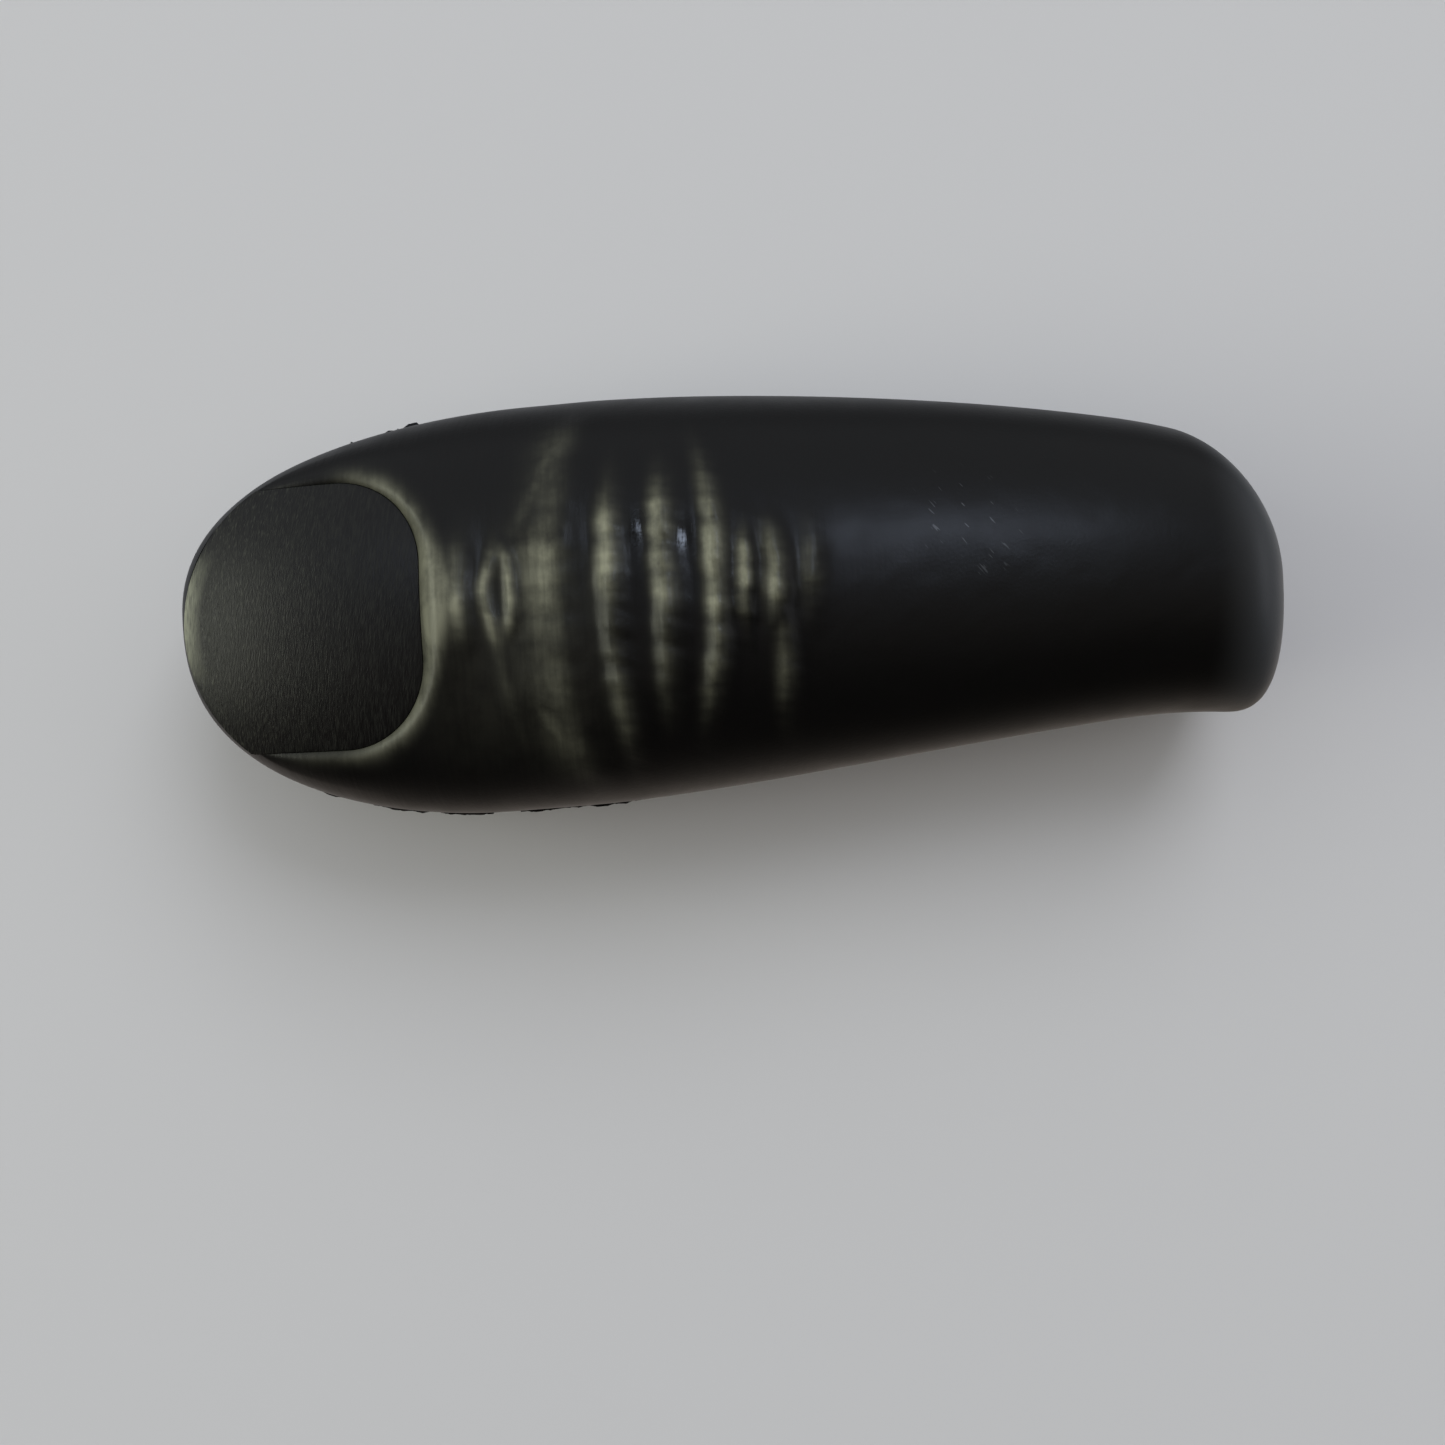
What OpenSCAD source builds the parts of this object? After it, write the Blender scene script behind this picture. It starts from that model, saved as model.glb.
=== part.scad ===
// Racket-string vibration dampener in the form of a thumb.
// Two moulded rubber halves close over the strings, which lie across the thumb between two soft grips.
// X runs from the tip (-X) to the rear end, Z is up, and the underside rests on z = 0.

/* [Thumb] */
// Length from the tip to the rear end
thumb_l = 70; // [68:0.5:74]
// Greatest width, just behind the nail
thumb_w = 26; // [25.4:0.1:27.4]
// Width at the rear end, before its corners round over
rear_w = 17.7; // [17:0.1:18.8]
// Height of the shaft above the parting plane
shaft_h = 8.6; // [8.4:0.1:9.4]
// How far the knuckle stands above the shaft
knuckle_h = 2; // [1.6:0.1:2.6]
// Depth of the lower half, down to the underside
palm_d = 8.4; // [8.2:0.1:9.2]
// Rise of the hollow under the knuckle
palm_hollow = 0.9; // [0.5:0.1:1.4]
// How far the underside is cut flat to rest on
rest_cut = 0.5; // [0.4:0.1:0.8]
// Sideways bow of the shaft
bow = 0.8; // [0.4:0.1:1]
// How far the rear end swings back to the -Y side
rear_swing = 1; // [0.5:0.1:1.4]

/* [Skin creases] */
// Height of the knuckle's ridges
ridge_h = 0.75; // [0.5:0.05:0.9]
// Breadth of a ridge's slope on the tip's side
ridge_b = 1.2; // [1:0.05:1.4]
// Breadth of its fall on the rear side
ridge_fall = 0.7; // [0.6:0.05:0.9]
// Height of the roll of skin around the nail
roll_h = 0.75; // [0.5:0.05:1]
// Breadth of the roll's slope down to the nail, behind the root
roll_b = 1.5; // [1.3:0.05:1.8]
// Breadth of the roll's fall behind its crest
roll_fall = 1.7; // [1.4:0.05:2]

/* [Nail] */
// Where the nail's free edge lies, from the tip
nail_front = 1; // [0.9:0.05:1.3]
// Where the nail's root lies, from the tip
nail_root = 16.6; // [16:0.1:17]
// Width of the nail
nail_w = 16.4; // [15.8:0.1:16.8]
// How far the nail sits to the -Y side
nail_off = 0.4; // [0.2:0.05:0.6]
// Height of the nail's root above the parting plane
nail_h = 8.35; // [8.2:0.05:8.6]
// Thickness of the nail
nail_t = 1; // [0.9:0.05:1.2]
// Radius of the nail's curve across the thumb
nail_across_r = 18; // [16:0.25:20]
// Radius of the nail's curve along the thumb
nail_along_r = 32; // [30:0.5:36]
// Radius of the corners at the nail's root
nail_corner_r = 5.4; // [4.8:0.1:6]
// Gap around the nail in its pocket
nail_gap = 0.12; // [0.1:0.01:0.2]

/* [Strings] */
// Diameter of the racket string
string_d = 1.3; // [1.2:0.05:1.4]
// Distance from one main string to the next
string_pitch = 10; // [9.6:0.1:10.4]
// Room around a string where it leaves through the flanks
string_gap = 0.25; // [0.2:0.05:0.4]

/* [Grips] */
// Skin left at each end of the grips
end_wall = 6.5; // [6.2:0.1:7]
// Width of the grips
grip_w = 11; // [10:0.2:12]
// Corner radius of the grips
grip_corner_r = 2.5; // [2:0.1:3]
// Thickness of the upper grip
dorsal_grip_t = 2.5; // [2.3:0.1:2.8]
// Thickness of the lower grip
palmar_grip_t = 3.6; // [3.2:0.1:3.9]
// Gap around each grip in its pocket
grip_gap = 0.1; // [0.08:0.01:0.15]

/* [Pins] */
// Diameter of the locating pins
pin_d = 3; // [2.6:0.1:3.4]
// How far a pin stands up into the upper half
pin_up = 5; // [4.6:0.1:5.4]
// How far a pin is pressed into the lower half, below the grip
pin_seat = 2.2; // [2:0.1:2.4]
// Gap around a pin in its socket
pin_gap = 0.06; // [0.04:0.01:0.1]

/* [Hidden] */

// places along the thumb, from the tip
broad_s = 26.5;
rear_round = 5;
// length and power of the tip's round, then of the rear corner, on the +Y and the -Y side
side_rounds = [[23, 2.3, 6.5, 2.1], [20.5, 2.7, 3, 3]];
swing_len = 10;
knuckle_s = 32;
knuckle_len = 11;
hollow_s = 30;
hollow_len = 5.5;
tip_top = 14;
tip_under = 12;
roll_front = 4;
roll_fade = 5;
// how far out the skin takes to reach its own height along the nail's sides
roll_reach = 3.5;

// powers of the rounds: how square the sections, the tip and the rear end are
back_power = 2.25;
palm_power = 2.5;
tip_top_power = 2.6;
tip_under_power = 2.4;
rear_power = 2.5;
// share of the length where the lean changes side, and what makes its cubic's greatest value 1
lean_turn = 0.38;
lean_unit = 14.9;
// places of the two arcs of the small fold behind the nail, and their half breadth
eye_s = [20.7, 22.3];
eye_b = 0.38;
// steps around a section
back_steps = 48;
palm_steps = 30;

// the parting plane is one lower half above the table
part_z = palm_d - rest_cut;
half_w = thumb_w / 2;
string_r = string_d / 2;
notch_r = string_r + string_gap;
grip_l = thumb_l - 2 * end_wall;
string_pairs = floor((grip_l / 2 - grip_corner_r - notch_r) / string_pitch + 0.5);
string_xs = [for (k = [0.5 - string_pairs : string_pairs - 0.5]) k * string_pitch];
// pins stand on the centre line, midway between two strings
pin_xs = [-2 * string_pitch, 0, 2 * string_pitch];
pin_chamfer = 0.4;
// the nail's free edge is one arc that meets its straight sides, a little to the -Y side of the nail's middle
nail_front_r = 10;
nail_front_off = 0.4;
// bore of the ring that gives the nail its two curves
nail_ring_core = 10;
skin_black = "#1c1c1b";
nail_black = "#2b2c29";
grip_grey = "#3a3a3c";
pin_grey = "#55565a";
past = 1;

// places along the thumb are s, from the tip; the model's x is centred
function x_of(s) = s - thumb_l / 2;

// rounds the rear end over: 1 along the shaft, 0 at the very end
function rear_fade(s) =
    let (u = max(0, (s - thumb_l + rear_round) / rear_round))
    pow(max(0, 1 - pow(u, rear_power)), 1 / rear_power);

// half width of the plan on its +Y side (0) or -Y side (1): a blunt tip, a slow taper, a rounded rear corner
function half_width(s, side) =
    let (f = side_rounds[side], u = max(0, 1 - s / f[0]), w = max(0, (s - thumb_l + f[2]) / f[2]),
        v = max(0, s - broad_s) / (thumb_l - 4 - broad_s))
    (half_w * pow(1 - u * u, 1 / f[1]) - (half_w - rear_w / 2) * pow(v, 1.5))
        * pow(max(0, 1 - pow(w, f[3])), 1 / f[3]);

// the shaft leans to one side, the tip and the rear end to the other
function lean(s) =
    let (t = s / thumb_l, v = max(0, (s - thumb_l + swing_len) / swing_len))
    bow * lean_unit * t * (t - lean_turn) * (1 - t) - rear_swing * v * v;

// height of the back above the parting plane, on the centre line
function back_h(s) =
    let (u = max(0, 1 - s / tip_top))
    rear_fade(s) * pow(1 - u * u, 1 / tip_top_power)
        * (shaft_h + knuckle_h * exp(-pow((s - knuckle_s) / knuckle_len, 2)));

// depth of the underside below the parting plane, with a hollow under the knuckle
function palm_h(s) =
    let (u = max(0, 1 - s / tip_under))
    rear_fade(s) * pow(1 - u * u, 1 / tip_under_power)
        * (palm_d - palm_hollow * exp(-pow((s - hollow_s) / hollow_len, 2)));

// a smooth bump of height 1 and half breadth b
function bump(d, b) = exp(-d * d / (b * b));

// 1 between lo and hi, fading over about a millimetre at each end
function span(y, lo, hi) = 1 / (1 + exp((lo - y) * 2)) / (1 + exp((y - hi) * 2));

// knuckle ridges: place from the tip, reach to -Y and +Y, share of ridge_h, how far the ends sweep back,
// share of ridge_b
ridges = [
    [19.4, -2.2, 2.9, 0.9, 0.6, 1], [25.4, -11, 10, 1.4, 0.5, 2.1], [28.2, -9.4, 6.2, 1, 0.35, 1],
    [31.3, -7, 6.8, 1, 0, 1], [34.4, -7.2, 7.4, 1.1, -0.45, 1], [36.1, -1.8, 2.9, 0.9, 0.1, 0.75],
    [38, -1.6, 2.7, 1.25, -0.8, 0.95], [38.5, -8, -2.2, 0.65, 0, 0.9], [40.1, -1.8, 3.6, 0.5, 0, 0.85]];

// one ridge: an even ramp up from the tip's side and a round fall behind
function ridge(r, s, y) =
    let (d = s - r[0] - r[4] * y * y / 40)
    r[3] * ridge_h * min(max(0, 1 + d / (r[5] * ridge_b)), bump(max(0, d), ridge_fall)) * span(y, r[1], r[2]);

// the small closed fold behind the nail: two short ridges that face each other
function fold_eye(s, y) =
    let (away = abs(y - 0.2), tip_arc = s - eye_s[0] - min(0.15 * away * away, 0.2 * away),
        rear_arc = s - eye_s[1] + 0.05 * away * away)
    0.55 * ridge_h * span(y, -2.3, 2.6) * (bump(tip_arc, eye_b) + bump(rear_arc, eye_b));

// how far a place on the back lies outside the nail's sides and root
function off_nail(s, y) =
    let (dx = max(0, s - nail_root + nail_corner_r),
        dy = max(0, abs(y + nail_off) - nail_w / 2 + nail_corner_r))
    norm([dx, dy]) - nail_corner_r;

// breadth of the roll's slope: broad behind the root, narrow round the corners and along the sides
function roll_slope(y) = roll_b * (0.55 + 0.45 * bump(y + nail_off, 4.5));

// how much of the skin's height that slope takes up: all of it behind the root, under half along the sides
function roll_share(y) = 0.42 + 0.58 * bump(y + nail_off, 5.5);

// the roll follows the nail's sides and root, stands highest one slope away from them, and dies out behind
function nail_roll(s, y) =
    roll_h * roll_share(y) * bump(max(0, off_nail(s, y) - roll_slope(y)), roll_fall)
        / (1 + exp((roll_fade - s) * 1.3));

// height of the nail's upper face, near the nail
function nail_z(s, y) =
    let (across = sqrt(pow(nail_across_r, 2) - pow(y + nail_off, 2)),
        reach = nail_along_r - nail_across_r + across)
    part_z + nail_h - nail_along_r + sqrt(reach * reach - pow(s - nail_root, 2));

// how much of the skin's own height is left: none at the nail's edge, more up the slope to the roll's crest,
// all of it further out and at the tip; the slope goes on a little way under the nail, to keep the pocket's edge even
function skin_share(s, y) =
    let (off = off_nail(s, y), far = min(1, max(0, off / roll_reach)), share = roll_share(y),
        slope = 1 - pow(1 - min(1, max(-0.4, off / roll_slope(y))), 2.2))
    1 - (1 - share * slope - (1 - share) * far * far * (3 - 2 * far)) / (1 + exp((roll_front - s) * 2));

function creases(s, y) =
    nail_roll(s, y) + fold_eye(s, y) + [for (r = ridges) ridge(r, s, y)] * [for (r = ridges) 1];

// rings lie close at the rounded ends, round the nail's root and on the knuckle, and far apart on the shaft
end_rings = [for (k = [1 : 10]) 0.045 * k * k];
rear_rings = [for (k = [10 : -1 : 1]) thumb_l - 0.055 * k * k];
back_rings = concat(end_rings, [for (s = [5.1 : 0.6 : 13.5]) s], [for (s = [14 : 0.4 : 42]) s],
    [for (s = [43.5 : 2 : thumb_l - 6]) s], rear_rings);
palm_rings = concat(end_rings, [for (s = [5.5 : 1.5 : thumb_l - 6]) s], rear_rings);

// the plan is centred on the greatest widths of its two sides
middle_y = (max([for (s = back_rings) half_width(s, 0) + lean(s)])
    - max([for (s = back_rings) half_width(s, 1) - lean(s)])) / 2;
function side_y(s, c, p) =
    lean(s) - middle_y + half_width(s, c > 0 ? 0 : 1) * sign(c) * pow(abs(c), 2 / p);

// a point of the back at the angle a around its section: creases on top, drawn down to the nail near it
function back_point(s, a) =
    let (c = cos(a), n = sin(a), y = side_y(s, c, back_power),
        skin = part_z + back_h(s) * pow(n, 2 / back_power) + creases(s, y) * pow(n, 0.6) * rear_fade(s),
        bed = off_nail(s, y) < roll_reach ? min(skin, nail_z(s, y)) : skin)
    [x_of(s), y, bed + (skin - bed) * skin_share(s, y)];

// a point of the underside, cut flat where it rests
function palm_point(s, a) =
    [x_of(s), side_y(s, cos(a), palm_power), max(0, part_z - palm_h(s) * pow(sin(a), 2 / palm_power))];

// one half as a closed solid: the tip, rings of points from side to side, the rear end and the flat face
module half_body(rings, steps, points) {
    tip = [[x_of(0), lean(0) - middle_y, part_z]];
    rear = [[x_of(thumb_l), lean(thumb_l) - middle_y, part_z]];
    at = function (i, j) 1 + i * (steps + 1) + j;
    last = at(rings, 0);
    sides = [for (i = [0 : rings - 2], j = [0 : steps - 1])
        each [[at(i, j), at(i, j + 1), at(i + 1, j + 1)], [at(i, j), at(i + 1, j + 1), at(i + 1, j)]]];
    ends = [for (j = [0 : steps - 1])
        each [[0, at(0, j + 1), at(0, j)], [last, at(rings - 1, j), at(rings - 1, j + 1)]]];
    flat = [concat([0], [for (i = [0 : rings - 1]) at(i, 0)], [last],
        [for (i = [rings - 1 : -1 : 0]) at(i, steps)])];
    polyhedron(concat(tip, points, rear), concat(sides, ends, flat), convexity = 6);
}

// plan outline of a grip, made of squares and circles so that it stays exact
module rounded_plan(l, w, r) {
    square([l - 2 * r, w], center = true);
    square([l, w - 2 * r], center = true);
    for (sx = [-1, 1], sy = [-1, 1])
        translate([sx * (l / 2 - r), sy * (w / 2 - r)]) circle(r, $fn = 48);
}

// a grip's plan, raised from z0 to z1
module grip_block(gap, z0, z1) {
    translate([0, 0, z0])
        linear_extrude(z1 - z0) rounded_plan(grip_l + 2 * gap, grip_w + 2 * gap, grip_corner_r + gap);
}

// string channels across the thumb, on the parting plane
module string_channels(r, l) {
    for (x = string_xs)
        translate([x, 0, part_z]) rotate([90, 0, 0]) cylinder(r = r, h = l, center = true, $fn = 48);
}

// upright holes on the pins' axes
module pin_holes(r, z0, z1) {
    for (x = pin_xs) translate([x, 0, z0]) cylinder(r = r, h = z1 - z0, $fn = 48);
}

// plan of the nail: straight sides, round corners at the root and one arc in front
module nail_plan(grow) {
    translate([x_of(0), -nail_off]) intersection() {
        union() {
            translate([0, -nail_w / 2 - grow]) square([nail_root - nail_corner_r, nail_w + 2 * grow]);
            translate([0, nail_corner_r - nail_w / 2])
                square([nail_root + grow, nail_w - 2 * nail_corner_r]);
            for (side = [-1, 1])
                translate([nail_root - nail_corner_r, side * (nail_w / 2 - nail_corner_r)])
                    circle(nail_corner_r + grow, $fn = 64);
        }
        translate([nail_front + nail_front_r, -nail_front_off]) circle(nail_front_r + grow, $fn = 96);
    }
}

// ring whose top is the nail's upper face, curved both ways, or a face that far below it
module nail_ring(below) {
    translate([x_of(nail_root), -nail_off, part_z + nail_h - nail_along_r])
        rotate([90, 0, 0])
            rotate_extrude($fn = 96) intersection() {
                translate([nail_along_r - nail_across_r, 0]) circle(nail_across_r - below, $fn = 96);
                translate([nail_ring_core, -nail_across_r]) square([nail_along_r, 2 * nail_across_r]);
            }
}

// room for the nail, from its bed upwards
module nail_pocket() {
    difference() {
        translate([0, 0, part_z]) linear_extrude(nail_h + 4) nail_plan(nail_gap);
        nail_ring(nail_t + nail_gap);
    }
}

module dorsal_skin() {
    color(skin_black) difference() {
        half_body(len(back_rings), back_steps,
            [for (s = back_rings, j = [0 : back_steps]) back_point(s, 180 - 180 / back_steps * j)]);
        grip_block(grip_gap, part_z - past, part_z + dorsal_grip_t + grip_gap);
        string_channels(notch_r, thumb_w + 2 * past);
        pin_holes(pin_d / 2 + pin_gap, part_z, part_z + pin_up + 4 * pin_gap);
        nail_pocket();
    }
}

module nail_plate() {
    color(nail_black) intersection() {
        translate([0, 0, part_z]) linear_extrude(nail_h + 4) nail_plan(0);
        difference() {
            nail_ring(0);
            nail_ring(nail_t);
        }
    }
}

module dorsal_grip() {
    color(grip_grey) difference() {
        grip_block(0, part_z, part_z + dorsal_grip_t);
        string_channels(string_r, grip_w + 2 * past);
        pin_holes(pin_d / 2 + 2 * pin_gap, part_z - past, part_z + dorsal_grip_t + past);
    }
}

module palmar_skin() {
    color(skin_black) difference() {
        half_body(len(palm_rings), palm_steps,
            [for (s = palm_rings, j = [0 : palm_steps]) palm_point(s, 180 / palm_steps * j)]);
        grip_block(grip_gap, part_z - palmar_grip_t - grip_gap, part_z + past);
        string_channels(notch_r, thumb_w + 2 * past);
        pin_holes(pin_d / 2, part_z - palmar_grip_t - pin_seat, part_z);
    }
}

module palmar_grip() {
    color(grip_grey) difference() {
        grip_block(0, part_z - palmar_grip_t, part_z);
        string_channels(string_r, grip_w + 2 * past);
        pin_holes(pin_d / 2 + 2 * pin_gap, part_z - palmar_grip_t - past, part_z + past);
    }
}

// three equal pins with chamfered ends
module locating_pins() {
    r = pin_d / 2;
    foot = part_z - palmar_grip_t - pin_seat;
    pin_l = part_z + pin_up - foot;
    color(pin_grey) for (x = pin_xs)
        translate([x, 0, foot]) rotate_extrude($fn = 48)
            polygon([[0, 0], [r - pin_chamfer, 0], [r, pin_chamfer], [r, pin_l - pin_chamfer],
                [r - pin_chamfer, pin_l], [0, pin_l]]);
}

dorsal_skin();
nail_plate();
dorsal_grip();
palmar_skin();
palmar_grip();
locating_pins();
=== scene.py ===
# Thumb-shaped string dampener in black moulded rubber, lying nail up on pale paper.
import math

import bpy
import numpy as np
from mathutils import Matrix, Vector


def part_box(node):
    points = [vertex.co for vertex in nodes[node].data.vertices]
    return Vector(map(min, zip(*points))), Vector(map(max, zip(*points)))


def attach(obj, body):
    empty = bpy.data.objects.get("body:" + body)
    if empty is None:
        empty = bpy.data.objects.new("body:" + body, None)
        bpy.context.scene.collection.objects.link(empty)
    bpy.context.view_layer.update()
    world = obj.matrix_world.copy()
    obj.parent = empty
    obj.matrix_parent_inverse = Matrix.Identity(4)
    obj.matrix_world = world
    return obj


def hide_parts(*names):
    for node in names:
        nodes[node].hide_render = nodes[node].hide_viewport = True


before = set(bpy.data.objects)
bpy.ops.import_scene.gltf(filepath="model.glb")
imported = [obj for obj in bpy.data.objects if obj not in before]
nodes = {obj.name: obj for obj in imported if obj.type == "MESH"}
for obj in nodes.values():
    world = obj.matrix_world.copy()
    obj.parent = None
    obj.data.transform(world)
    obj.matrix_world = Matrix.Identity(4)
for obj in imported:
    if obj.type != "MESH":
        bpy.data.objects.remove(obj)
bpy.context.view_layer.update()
skinLow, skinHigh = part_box("dorsal_skin")
mm = 0.001  # shapes are worked out in millimetres, and meshes are in metres

# the thumb's form, in millimetres, as the solids have it; s runs from the tip to the rear end
thumb = {
    "length": (skinHigh.x - skinLow.x) / mm,
    "partZ": skinLow.z / mm,  # height of the plane where the halves meet
    # half width where it is broadest and at the rear, and the taper that leads there
    "halfWide": 13.0, "broadS": 26.5, "rearHalf": 8.85, "taperPower": 1.5, "taperShort": 4.0,
    # length and power of the tip's round, then of the rear corner, on the +Y and the -Y side
    "sideRounds": ((23.0, 2.3, 6.5, 2.1), (20.5, 2.7, 3.0, 3.0)),
    # sideways bow of the middle line, the share of length where it crosses over, and the rear end's swing
    "bow": 0.8, "bowScale": 14.9, "bowCross": 0.38, "rearSwing": 1.0, "swingLen": 10.0,
    # heights above the parting plane, and the rounds at both ends
    "shaftH": 8.6, "knuckleH": 2.0, "knuckleS": 32.0, "knuckleLen": 11.0,
    "tipTop": 14.0, "tipTopPower": 2.6, "rearRound": 5.0, "rearPower": 2.5,
    # depths below it, and the round under the tip
    "palmD": 8.4, "hollow": 0.9, "hollowS": 30.0, "hollowLen": 5.5, "tipUnder": 12.0, "tipUnderPower": 2.4,
    # powers of the rounded cross section
    "backPower": 2.25, "palmPower": 2.5,
}
length, partZ = thumb["length"], thumb["partZ"]


# small tools
def hexLinear(text):
    # an sRGB hex colour as linear numbers, with full alpha
    srgb = [int(text[i:i + 2], 16) / 255 for i in (1, 3, 5)]
    return [c / 12.92 if c <= 0.04045 else ((c + 0.055) / 1.055) ** 2.4 for c in srgb] + [1.0]


def addNode(tree, kind, settings=None, links=None):
    # settings go to sockets, by name or number, or to properties, and a tuple of names takes a tuple of
    # values; links map a socket to (node, output)
    node = tree.nodes.new("ShaderNode" + kind)
    for key, value in (settings or {}).items():
        if isinstance(key, tuple):
            for name, part in zip(key, value):
                node.inputs[name].default_value = part
        elif isinstance(key, int) or key in node.inputs.keys():
            node.inputs[key].default_value = value
        else:
            setattr(node, key, value)
    for key, (source, output) in (links or {}).items():
        tree.links.new(source.outputs[output], node.inputs[key])
    return node


mixUnder, mixOver, mixed = 6, 7, 2  # the two colour sockets and the colour output of a Mix node
rangeEnds = ("From Min", "From Max", "To Min", "To Max")  # a range is given in this order, or its first two
times = {"operation": "MULTIPLY"}  # what a Math node does


def meshFrom(name, points, faces):
    # points in millimetres become a mesh in metres
    mesh = bpy.data.meshes.new(name)
    mesh.from_pydata((np.asarray(points) * mm).tolist(), [], faces)
    mesh.update()
    obj = bpy.data.objects.new(name, mesh)
    bpy.context.scene.collection.objects.link(obj)
    return obj


def gridFaces(rows, cols, first=0, closed=False):
    # quads between neighbouring rows of a grid of points, joined round if closed
    i, j = np.meshgrid(np.arange(rows - 1), np.arange(cols if closed else cols - 1), indexing="ij")
    k = (j + 1) % cols
    quads = np.stack([i * cols + j, i * cols + k, (i + 1) * cols + k, (i + 1) * cols + j], -1)
    return (first + quads).reshape(-1, 4).tolist()


def bump(d, breadth):
    # a bell: 1 in the middle, and 1/e one breadth away
    return np.exp(-(d / breadth) ** 2)


def between(y, low, high, soft):
    # 1 between low and high, fading softly at both ends
    return 1 / (1 + np.exp((low - y) / soft)) / (1 + np.exp((y - high) / soft))


def wave(t, seed):
    # a smooth aimless wave of about unit size, from three sines that never line up
    first = np.sin(t + 2.1 * seed)
    second = 0.6 * np.sin(2.3 * t + 5.3 * seed)
    third = 0.4 * np.sin(4.7 * t + 1.3 * seed)
    return (first + second + third) / 1.4


print("stage: tools ready")


# form of the thumb: plan, back and underside
def rearFade(s):
    # 1 along the shaft, rounding down to 0 at the rear end
    u = np.clip((s - length + thumb["rearRound"]) / thumb["rearRound"], 0, 1)
    return np.clip(1 - u ** thumb["rearPower"], 0, 1) ** (1 / thumb["rearPower"])


def halfWidth(s, side):
    # a blunt rounded tip, then a slow taper to a rounded rear corner; the two sides differ a little
    tipLen, tipPower, corner, cornerPower = thumb["sideRounds"][side]
    u = np.clip(1 - s / tipLen, 0, None)
    v = np.clip(s - thumb["broadS"], 0, None) / (length - thumb["taperShort"] - thumb["broadS"])
    w = np.clip((s - length + corner) / corner, 0, 1)
    tip = thumb["halfWide"] * (1 - u * u) ** (1 / tipPower)
    taper = (thumb["halfWide"] - thumb["rearHalf"]) * v ** thumb["taperPower"]
    return (tip - taper) * np.clip(1 - w ** cornerPower, 0, 1) ** (1 / cornerPower)


def leanAside(s):
    # a cubic that carries the shaft to +Y and the tip to -Y, and a square that swings the rear end to -Y
    t = s / length
    v = np.clip(s - length + thumb["swingLen"], 0, None) / thumb["swingLen"]
    cubic = thumb["bow"] * thumb["bowScale"] * t * (t - thumb["bowCross"]) * (1 - t)
    return cubic - thumb["rearSwing"] * v * v


# the widest points of the two sides lie evenly about Y = 0
planS = np.linspace(0, length, 2000)
highY = np.max(halfWidth(planS, 0) + leanAside(planS))
lowY = np.max(halfWidth(planS, 1) - leanAside(planS))
middleY = (highY - lowY) / 2


def backHeight(s):
    # shaft height with one swell at the knuckle, rounded at both ends
    u = np.clip(1 - s / thumb["tipTop"], 0, None)
    swell = thumb["knuckleH"] * bump(s - thumb["knuckleS"], thumb["knuckleLen"])
    return rearFade(s) * (1 - u * u) ** (1 / thumb["tipTopPower"]) * (thumb["shaftH"] + swell)


def palmDepth(s):
    # depth of the underside, less a hollow under the knuckle, rounded at both ends
    u = np.clip(1 - s / thumb["tipUnder"], 0, None)
    dip = thumb["hollow"] * bump(s - thumb["hollowS"], thumb["hollowLen"])
    return rearFade(s) * (1 - u * u) ** (1 / thumb["tipUnderPower"]) * (thumb["palmD"] - dip)


# nail: place and curves shared by the nail, its pocket and the roll of skin around it
nail = {
    "front": 1.0, "root": 16.6, "halfWide": 8.2, "aside": -0.4, "height": 8.35, "thick": 1.0,
    "acrossR": 18.0, "alongR": 32.0, "cornerR": 5.4, "frontR": 10.0, "frontAside": -0.8,
    "gap": 0.02,  # play in the pocket
    "rays": 360, "rayReach": 14.0, "raySteps": 2801,  # the outline is found along rays, in fine steps
    "pole": 0.02,  # rings are drawn in to this share of the outline, and a flat face closes them
    # underside, square side and eased edge, then the upper face: shares of the outline and of the thickness
    "underRing": 0.5, "sideTop": 0.3, "edge": 0.05, "edgeFrom": 0.3, "edgeRings": 5,
    "faceFrom": 0.955, "faceRings": 60, "sharpAngle": 50.0,
}


def nailZ(s, y, below=0.0):
    # upper side of a ring whose tube curves across the thumb and whose round curves along it
    across = np.sqrt((nail["acrossR"] - below) ** 2 - (y - nail["aside"]) ** 2)
    along = (nail["alongR"] - nail["acrossR"] + across) ** 2 - (s - nail["root"]) ** 2
    return partZ + nail["height"] - nail["alongR"] + np.sqrt(along)


def offNail(s, y):
    # distance outside the nail's sides and root
    dx = np.clip(s - nail["root"] + nail["cornerR"], 0, None)
    dy = np.clip(np.abs(y - nail["aside"]) - nail["halfWide"] + nail["cornerR"], 0, None)
    return np.hypot(dx, dy) - nail["cornerR"]


def nailOutline(grow):
    # rays from the nail's middle out to the nearest of its sides, root corners and front arc
    a = np.linspace(0, 2 * np.pi, nail["rays"], endpoint=False)
    far = np.linspace(0, nail["rayReach"], nail["raySteps"])
    midS = nail["root"] - nail["halfWide"]
    s = midS + far[None, :] * np.cos(a)[:, None]
    y = nail["aside"] + far[None, :] * np.sin(a)[:, None]
    inFront = np.hypot(s - nail["front"] - nail["frontR"], y - nail["frontAside"]) - nail["frontR"]
    reach = far[np.argmax(np.maximum(offNail(s, y), inFront) > grow, axis=1)]
    return midS, midS + reach * np.cos(a), nail["aside"] + reach * np.sin(a)


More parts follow.
